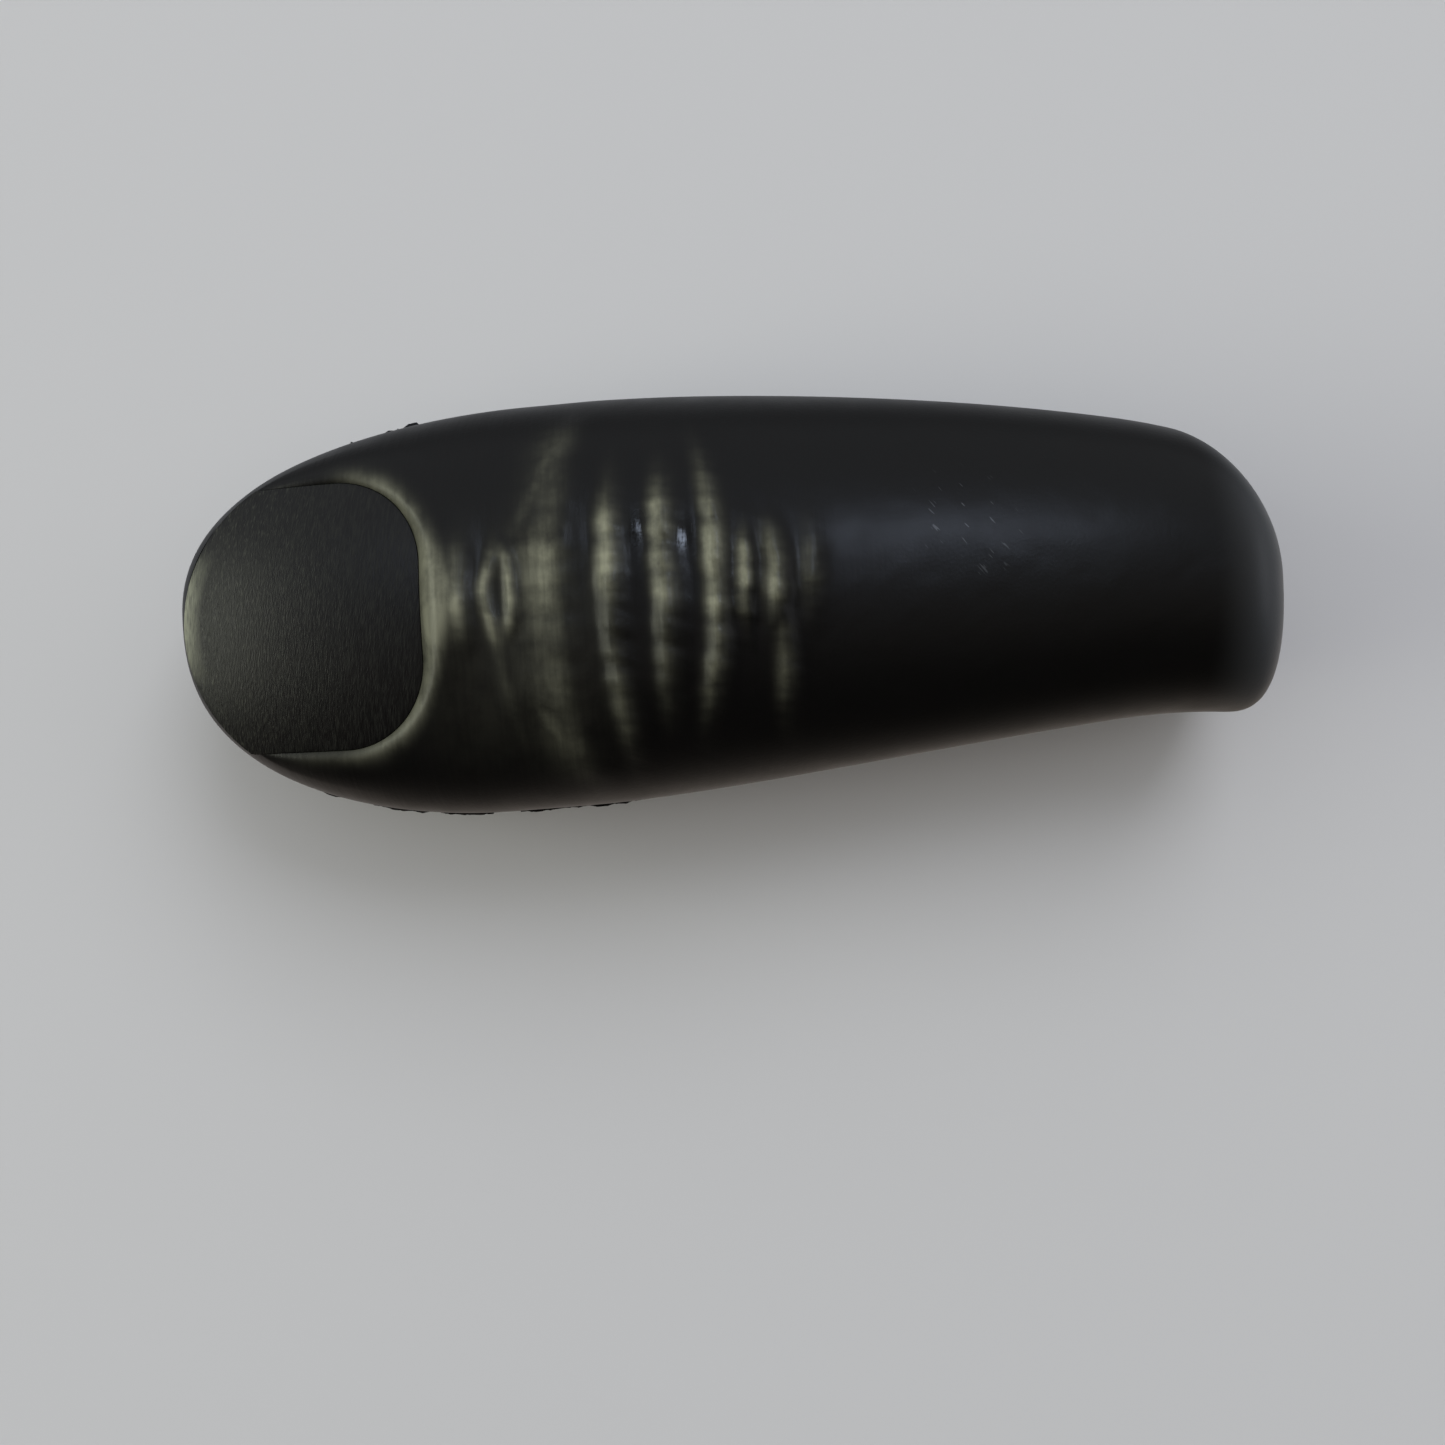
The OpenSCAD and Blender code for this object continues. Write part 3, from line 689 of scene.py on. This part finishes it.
rubber = {
    # the crests' pale colour is partly wear and partly painted sheen of the slopes that face the lamps
    "dark": "#080808", "crestWearAndSheen": "#828371", "edge": "#54575a", "scuffed": "#4c4f52", "ior": 1.25,
    # sizes in millimetres and detail: cloudy patches and pebble, then thin, long, turn and detail of strokes
    "cloud": (2.5, 4.0), "cloudRough": 0.6, "pebble": (0.22, 3.0),
    "lines": (0.35, 3.5, 0.0, 2.0), "scuffs": (0.10, 0.9, -40.0, 0.0),
    # ranges: how clouds and lines break up the pale crests, and which strokes are scuffs
    "cloudBreaksPale": (0.22, 0.56, 0.2, 1.0), "lineBreaksPale": (0.3, 0.58, 0.72, 1.0), "scuffPick": (0.78, 0.82),
    "scuffAt": (14.5, 3.2, 17.3), "scuffNear": 1.26, "scuffFar": 4.2,  # middle and reach of the scuffed patch
    # ranges of roughness: over the clouds, added on the flanks, and the share that the beads keep
    "cloudMatt": (0.0, 1.0, 0.29, 0.44), "flankMatt": (0.0, 1.0, 0.0, 0.05),
    "beadMatt": (0.0, 1.0, 1.0, 0.45),
    "lineFade": (0.002, 0.012, 1.0, 0.12),  # metres from the middle: strong on the knuckle, weak on the shaft
    "lineBump": (0.35, 0.06), "pebbleBump": (0.25, 0.03),  # strength, and height in millimetres
}


def mouldedRubber():
    # black moulded rubber, semi-matte: a fine pebble from the mould, faint skin lines on the knuckle,
    # ridges and the slope round the nail painted paler, partly as wear and partly as the sheen of slopes that
    # face the lamps, the rear edge painted paler as its sheen, and a few short scuffs
    material, shader = newMaterial("mouldedBlackRubber")
    tree = material.node_tree
    place = addNode(tree, "TexCoord")
    sides = addNode(tree, "SeparateXYZ", links={"Vector": (place, "Object")})
    crest = addNode(tree, "Attribute", {"attribute_name": "crest"})
    flank = addNode(tree, "Attribute", {"attribute_name": "flank"})
    rim = addNode(tree, "Attribute", {"attribute_name": "rim"})
    gloss = addNode(tree, "Attribute", {"attribute_name": "gloss"})
    cloudSize, cloudDetail = rubber["cloud"]
    cloud = addNode(tree, "TexNoise",
                    {"Scale": 1 / (cloudSize * mm), "Detail": cloudDetail, "Roughness": rubber["cloudRough"]},
                    {"Vector": (place, "Object")})
    lines = rubbedStrokes(tree, place, *rubber["lines"])
    strokes = rubbedStrokes(tree, place, *rubber["scuffs"])

    # pale crests, from wear and painted sheen, broken up by the clouds and the lines
    cloudy = addNode(tree, "MapRange", {rangeEnds: rubber["cloudBreaksPale"]}, {"Value": (cloud, "Fac")})
    streaked = addNode(tree, "MapRange", {rangeEnds: rubber["lineBreaksPale"]}, {"Value": (lines, "Fac")})
    broken = addNode(tree, "Math", times, {0: (cloudy, "Result"), 1: (streaked, "Result")})
    crestWearAndSheen = addNode(tree, "Math", times, {0: (crest, "Fac"), 1: (broken, "Value")})

    # a few scuffs in one patch of the shaft
    patchEnds = (rubber["scuffNear"] * mm, rubber["scuffFar"] * mm, 1.0, 0.0)
    away = addNode(tree, "VectorMath", {"operation": "DISTANCE", 1: [c * mm for c in rubber["scuffAt"]]},
                   {0: (place, "Object")})
    patch = addNode(tree, "MapRange", {rangeEnds: patchEnds}, {"Value": (away, "Value")})
    picked = addNode(tree, "MapRange", {rangeEnds: rubber["scuffPick"]}, {"Value": (strokes, "Fac")})
    scuffed = addNode(tree, "Math", times, {0: (picked, "Result"), 1: (patch, "Result")})

    # black, then the pale crests from wear and painted sheen, the painted sheen of the rear rim and the
    # scuffs over it
    onCrests = addNode(tree, "Mix", {"data_type": "RGBA", mixUnder: hexLinear(rubber["dark"]),
                                     mixOver: hexLinear(rubber["crestWearAndSheen"])}, {"Factor": (crestWearAndSheen, "Value")})
    # the edge colour is the painted sheen of the rear rim
    onRimSheen = addNode(tree, "Mix", {"data_type": "RGBA", mixOver: hexLinear(rubber["edge"])},
                     {"Factor": (rim, "Fac"), mixUnder: (onCrests, mixed)})
    colour = addNode(tree, "Mix", {"data_type": "RGBA", mixOver: hexLinear(rubber["scuffed"])},
                     {"Factor": (scuffed, "Value"), mixUnder: (onRimSheen, mixed)})
    tree.links.new(colour.outputs[mixed], shader.inputs["Base Color"])

    # rubbed smoother on top than on the flanks, and glossy on the beads
    cloudMatt = addNode(tree, "MapRange", {rangeEnds: rubber["cloudMatt"]}, {"Value": (cloud, "Fac")})
    flankMatt = addNode(tree, "MapRange", {rangeEnds: rubber["flankMatt"]}, {"Value": (flank, "Fac")})
    beadMatt = addNode(tree, "MapRange", {rangeEnds: rubber["beadMatt"]}, {"Value": (gloss, "Fac")})
    matt = addNode(tree, "Math", {"operation": "ADD"}, {0: (cloudMatt, "Result"), 1: (flankMatt, "Result")})
    rough = addNode(tree, "Math", times, {0: (matt, "Value"), 1: (beadMatt, "Result")})
    tree.links.new(rough.outputs["Value"], shader.inputs["Roughness"])

    # skin lines, and the pebble over them
    fade = addNode(tree, "MapRange", {rangeEnds: rubber["lineFade"]}, {"Value": (sides, "X")})
    lined = addNode(tree, "Math", times, {0: (lines, "Fac"), 1: (fade, "Result")})
    pebbleSize, pebbleDetail = rubber["pebble"]
    pebble = addNode(tree, "TexNoise", {"Scale": 1 / (pebbleSize * mm), "Detail": pebbleDetail},
                     {"Vector": (place, "Object")})
    lineStrength, lineHeight = rubber["lineBump"]
    pebbleStrength, pebbleHeight = rubber["pebbleBump"]
    lineBump = addNode(tree, "Bump", {"Strength": lineStrength, "Distance": lineHeight * mm},
                       {"Height": (lined, "Value")})
    pebbleBump = addNode(tree, "Bump", {"Strength": pebbleStrength, "Distance": pebbleHeight * mm},
                         {"Height": (pebble, "Fac"), "Normal": (lineBump, "Normal")})
    tree.links.new(pebbleBump.outputs["Normal"], shader.inputs["Normal"])
    shader.inputs["IOR"].default_value = rubber["ior"]
    return material


nailFinish = {
    # pale is the colour of the painted reflection at the tip's edge, and the flecks are partly painted
    # highlight
    "dark": "#080808", "streak": "#171815", "fleck": "#3a3c34", "pale": "#868977", "ior": 1.285,
    "streaks": (0.11, 0.9, 6.0, 3.0), "ticks": (0.075, 0.45, 11.0, 1.0),  # thin, long, turn and detail
    # ranges: which streaks are paler, which ticks are flecks, how streaks break the crescent, and roughness
    "streakPick": (0.45, 0.70), "fleckPick": (0.58, 0.74), "paleBreak": (0.3, 0.6, 0.35, 1.0),
    "matt": (0.3, 0.7, 0.36, 0.50),
    "fleckMost": 0.9, "fleckEnd": 12.0,  # flecks die out this far from the tip
    "paleFrom": 1.3, "paleHalf": (1.2, 4.2),  # depth of the crescent, and half widths where it fades and ends
    "bump": (0.5, 0.05),  # strength, and height in millimetres
}


def rubbedNail():
    # hard black rubber rubbed across with fine abrasive: short fine ticks, most of them towards the tip,
    # where their pale colour also paints the tip's highlight, and a pale crescent at the tip's edge, a
    # painted reflection of the left lamp in the rounded edge
    material, shader = newMaterial("rubbedHardRubber")
    tree = material.node_tree
    tip = (nail["front"] - length / 2) * mm
    place = addNode(tree, "TexCoord")
    sides = addNode(tree, "SeparateXYZ", links={"Vector": (place, "Object")})
    streaks = rubbedStrokes(tree, place, *nailFinish["streaks"])
    ticks = rubbedStrokes(tree, place, *nailFinish["ticks"])

    # flecks, fewer away from the tip: a texture, and partly a painted highlight that makes the tip paler than
    # the root
    tipEnds = (tip, tip + nailFinish["fleckEnd"] * mm, nailFinish["fleckMost"], 0.0)
    flecks = addNode(tree, "MapRange", {rangeEnds: nailFinish["fleckPick"]}, {"Value": (ticks, "Fac")})
    tipward = addNode(tree, "MapRange", {rangeEnds: tipEnds}, {"Value": (sides, "X")})
    flecked = addNode(tree, "Math", times, {0: (flecks, "Result"), 1: (tipward, "Result")})

    # the crescent of painted reflection: how near a point is to the front arc, and how near to the nail's
    # middle line
    arcMiddle = (tip + nail["frontR"] * mm, nail["frontAside"] * mm, 0)
    arcEnds = ((nail["frontR"] - nailFinish["paleFrom"]) * mm, nail["frontR"] * mm)
    halfEnds = (nailFinish["paleHalf"][0] * mm, nailFinish["paleHalf"][1] * mm, 1.0, 0.0)
    flat = addNode(tree, "CombineXYZ", links={"X": (sides, "X"), "Y": (sides, "Y")})
    fromMiddle = addNode(tree, "VectorMath", {"operation": "DISTANCE", 1: arcMiddle}, {0: (flat, "Vector")})
    edge = addNode(tree, "MapRange", {rangeEnds: arcEnds}, {"Value": (fromMiddle, "Value")})
    offMiddle = addNode(tree, "Math", {"operation": "ABSOLUTE"}, {0: (sides, "Y")})
    narrow = addNode(tree, "MapRange", {rangeEnds: halfEnds}, {"Value": (offMiddle, "Value")})
    paintedCrescent = addNode(tree, "Math", times, {0: (edge, "Result"), 1: (narrow, "Result")})
    broken = addNode(tree, "MapRange", {rangeEnds: nailFinish["paleBreak"]}, {"Value": (streaks, "Fac")})
    paintedTipGleam = addNode(tree, "Math", times, {0: (paintedCrescent, "Value"), 1: (broken, "Result")})

    # black with faint streaks, then the flecks and the painted crescent of reflection over it
    streaky = addNode(tree, "MapRange", {rangeEnds: nailFinish["streakPick"]}, {"Value": (streaks, "Fac")})
    base = addNode(tree, "Mix", {"data_type": "RGBA", mixUnder: hexLinear(nailFinish["dark"]),
                                 mixOver: hexLinear(nailFinish["streak"])}, {"Factor": (streaky, "Result")})
    ticked = addNode(tree, "Mix", {"data_type": "RGBA", mixOver: hexLinear(nailFinish["fleck"])},
                     {"Factor": (flecked, "Value"), mixUnder: (base, mixed)})
    colour = addNode(tree, "Mix", {"data_type": "RGBA", mixOver: hexLinear(nailFinish["pale"])},
                     {"Factor": (paintedTipGleam, "Value"), mixUnder: (ticked, mixed)})
    tree.links.new(colour.outputs[mixed], shader.inputs["Base Color"])

    rough = addNode(tree, "MapRange", {rangeEnds: nailFinish["matt"]}, {"Value": (streaks, "Fac")})
    tree.links.new(rough.outputs["Result"], shader.inputs["Roughness"])
    strength, height = nailFinish["bump"]
    ticksUp = addNode(tree, "Bump", {"Strength": strength, "Distance": height * mm},
                      {"Height": (ticks, "Fac")})
    tree.links.new(ticksUp.outputs["Normal"], shader.inputs["Normal"])
    shader.inputs["IOR"].default_value = nailFinish["ior"]
    return material


# grips and pins: colour, roughness, and pebble in millimetres
mouldings = {
    "grip": ("softGreyRubber", "#57585a", 0.72, 0.30),  # soft rubber, matt and grey
    "pin": ("mouldedAcetal", "#8a8b8e", 0.42, 0.20),  # acetal, paler and smoother, with a slight sheen
    "spread": 0.06, "detail": 3.0, "bump": (0.3, 0.04),
}


def plainMoulding(name, colour, roughness, pebble):
    # an even moulded surface with a fine pebble, which also makes its roughness uneven
    material, shader = newMaterial(name)
    tree = material.node_tree
    mattEnds = (0.0, 1.0, roughness - mouldings["spread"], roughness + mouldings["spread"])
    strength, height = mouldings["bump"]
    place = addNode(tree, "TexCoord")
    noise = addNode(tree, "TexNoise", {"Scale": 1 / (pebble * mm), "Detail": mouldings["detail"]},
                    {"Vector": (place, "Object")})
    rough = addNode(tree, "MapRange", {rangeEnds: mattEnds}, {"Value": (noise, "Fac")})
    tree.links.new(rough.outputs["Result"], shader.inputs["Roughness"])
    pebbleUp = addNode(tree, "Bump", {"Strength": strength, "Distance": height * mm},
                       {"Height": (noise, "Fac")})
    tree.links.new(pebbleUp.outputs["Normal"], shader.inputs["Normal"])
    shader.inputs["Base Color"].default_value = hexLinear(colour)
    return material


skinRubber = mouldedRubber()
nailRubber = rubbedNail()
gripRubber = plainMoulding(*mouldings["grip"])
pinPlastic = plainMoulding(*mouldings["pin"])
for piece, material in ((dorsalSkin, skinRubber), (palmarSkin, skinRubber), (nailPlate, nailRubber),
                        (nodes["dorsal_grip"], gripRubber), (nodes["palmar_grip"], gripRubber),
                        (nodes["locating_pins"], pinPlastic)):
    piece.data.materials.clear()
    piece.data.materials.append(material)
print("stage: finishes")

# what each piece stands for and rides on
for piece, node, body, slot in ((dorsalSkin, "dorsal_skin", "dorsal_half", "skin_rubber"),
                                (palmarSkin, "palmar_skin", "palmar_half", "skin_rubber"),
                                (nailPlate, "nail_plate", "dorsal_half", "nail_rubber")):
    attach(piece, body)
    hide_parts(node)

# paper
paper = {"size": 1600.0, "colour": "#c8c9cb", "roughness": 0.9}
half = paper["size"] / 2
corners = [[-half, -half, 0], [half, -half, 0], [half, half, 0], [-half, half, 0]]
floor = meshFrom("paperFloor", corners, [[0, 1, 2, 3]])
paperMaterial, paperShader = newMaterial("mattePaper")
paperShader.inputs["Base Color"].default_value = hexLinear(paper["colour"])
paperShader.inputs["Roughness"].default_value = paper["roughness"]
floor.data.materials.append(paperMaterial)
floor.visible_glossy = False  # the world below the horizon stands in for the paper in reflections

# light
light = {
    "aim": (12.0, 3.0, 12.0),  # millimetres
    # name, place, width and height in metres, power in watts, colour, whether it lights, whether it glints
    "lamps": [("keyLamp", (0.24, 0.58, 0.62), (0.50, 0.50), 2.9, "#f8faff", True, False),
              ("fillLamp", (-0.60, -0.16, 0.36), (0.40, 0.30), 0.45, "#fff6ec", True, False),
              ("glintLamp", (0.0265, 0.0177, 0.0640), (0.007, 0.008), 0.0058, "#d8e6ff", False, True),
              ("valleyLamp", (-0.031, 0.141, 0.318), (0.070, 0.022), 0.120, "#d8e6ff", False, True),
              ("leftLamp", (-0.92, 0.04, 0.30), (0.70, 0.34), 3.8, "#fbffea", True, True),
              ("rightLamp", (0.92, 0.00, 0.32), (0.60, 0.36), 0.7, "#f2f6ff", True, True)],
    # the room: pale on the +Y side and dim on the other
    "towards": (-0.22, 0.98, 0.0), "turnOver": (-0.45, 0.30), "nearTint": "#f6f9ff", "farTint": "#fff0e2",
    "span": (0.0, 1.0, 0.085, 0.95),
    # ranges over height, from -1 to 1: dimmer at the horizon, paper below it, less bright at the top
    "horizon": (0.0, 0.45, 0.80, 1.0), "paper": (-0.28, -0.75, 0.15, 0.52), "under": (0.0, -0.22),
    "rise": (0.72, 0.97), "top": 0.46,
    "backdrop": "#cdcfd2",
}


def softLamp(name, place, sides, power, colour, lights, glints):
    # an oblong lamp turned towards the object; it can be kept out of reflections, or seen in them alone
    lamp = bpy.data.lights.new(name, "AREA")
    lamp.shape = "RECTANGLE"
    lamp.size, lamp.size_y = sides
    lamp.energy = power
    lamp.color = hexLinear(colour)[:3]
    obj = bpy.data.objects.new(name, lamp)
    obj.location = place
    aim = Vector([c * mm for c in light["aim"]])
    obj.rotation_euler = (aim - obj.location).to_track_quat("-Z", "Y").to_euler()
    obj.visible_diffuse = lights
    obj.visible_glossy = glints
    bpy.context.scene.collection.objects.link(obj)


for lamp in light["lamps"]:
    softLamp(*lamp)


def roomLight():
    # a room that is pale on one side, dim on the other, and less bright straight above
    world = bpy.data.worlds.new("room")
    world.use_nodes = True
    tree = world.node_tree
    tree.nodes.clear()
    place = addNode(tree, "TexCoord")
    side = addNode(tree, "VectorMath", {"operation": "DOT_PRODUCT", 1: light["towards"]},
                   {0: (place, "Generated")})
    share = addNode(tree, "MapRange", {rangeEnds: light["turnOver"]}, {"Value": (side, "Value")})
    span = addNode(tree, "MapRange", {rangeEnds: light["span"]}, {"Value": (share, "Result")})
    tint = addNode(tree, "Mix", {"data_type": "RGBA", mixUnder: hexLinear(light["farTint"]),
                                 mixOver: hexLinear(light["nearTint"])}, {"Factor": (share, "Result")})
    parts = addNode(tree, "SeparateXYZ", links={"Vector": (place, "Generated")})
    horizon = addNode(tree, "MapRange", {rangeEnds: light["horizon"]}, {"Value": (parts, "Z")})
    level = addNode(tree, "Math", times, {0: (span, "Result"), 1: (horizon, "Result")})
    paperLevel = addNode(tree, "MapRange", {rangeEnds: light["paper"]}, {"Value": (parts, "Z")})
    under = addNode(tree, "MapRange", {rangeEnds: light["under"]}, {"Value": (parts, "Z")})
    lower = addNode(tree, "Mix", {"data_type": "FLOAT"},
                    {"Factor": (under, "Result"), "A": (level, "Value"), "B": (paperLevel, "Result")})
    rise = addNode(tree, "MapRange", {rangeEnds: light["rise"]}, {"Value": (parts, "Z")})
    strength = addNode(tree, "Mix", {"data_type": "FLOAT", "B": light["top"]},
                       {"Factor": (rise, "Result"), "A": (lower, "Result")})
    room = addNode(tree, "Background", links={"Color": (tint, mixed), "Strength": (strength, "Result")})
    # beyond the paper's edge the camera sees a plain pale backdrop
    ray = addNode(tree, "LightPath")
    backdrop = addNode(tree, "Background", {"Color": hexLinear(light["backdrop"]), "Strength": 1.0})
    seen = addNode(tree, "MixShader", links={"Fac": (ray, "Is Camera Ray"), 1: (room, "Background"),
                                             2: (backdrop, "Background")})
    addNode(tree, "OutputWorld", links={"Surface": (seen, "Shader")})
    return world


bpy.context.scene.world = roomLight()

# camera: millimetres above the parting plane and aside, degrees
camera = {"fov": 53.0, "sensor": 36.0, "clip": 1.0, "above": 94.8, "x": -0.67, "y": -7.97, "turn": -2.68}
lens = bpy.data.cameras.new("photoCamera")
lens.sensor_fit = "HORIZONTAL"
lens.sensor_width = camera["sensor"]
lens.lens = camera["sensor"] / 2 / math.tan(math.radians(camera["fov"] / 2))
lens.clip_start = camera["clip"] * mm
cameraObj = bpy.data.objects.new("photoCamera", lens)
cameraObj.location = (camera["x"] * mm, camera["y"] * mm, (partZ + camera["above"]) * mm)
cameraObj.rotation_euler = (0, 0, math.radians(camera["turn"]))
bpy.context.scene.collection.objects.link(cameraObj)
bpy.context.scene.camera = cameraObj
bpy.context.scene.view_settings.view_transform = "Standard"
print("stage: paper, light and camera")

bpy.context.view_layer.update()
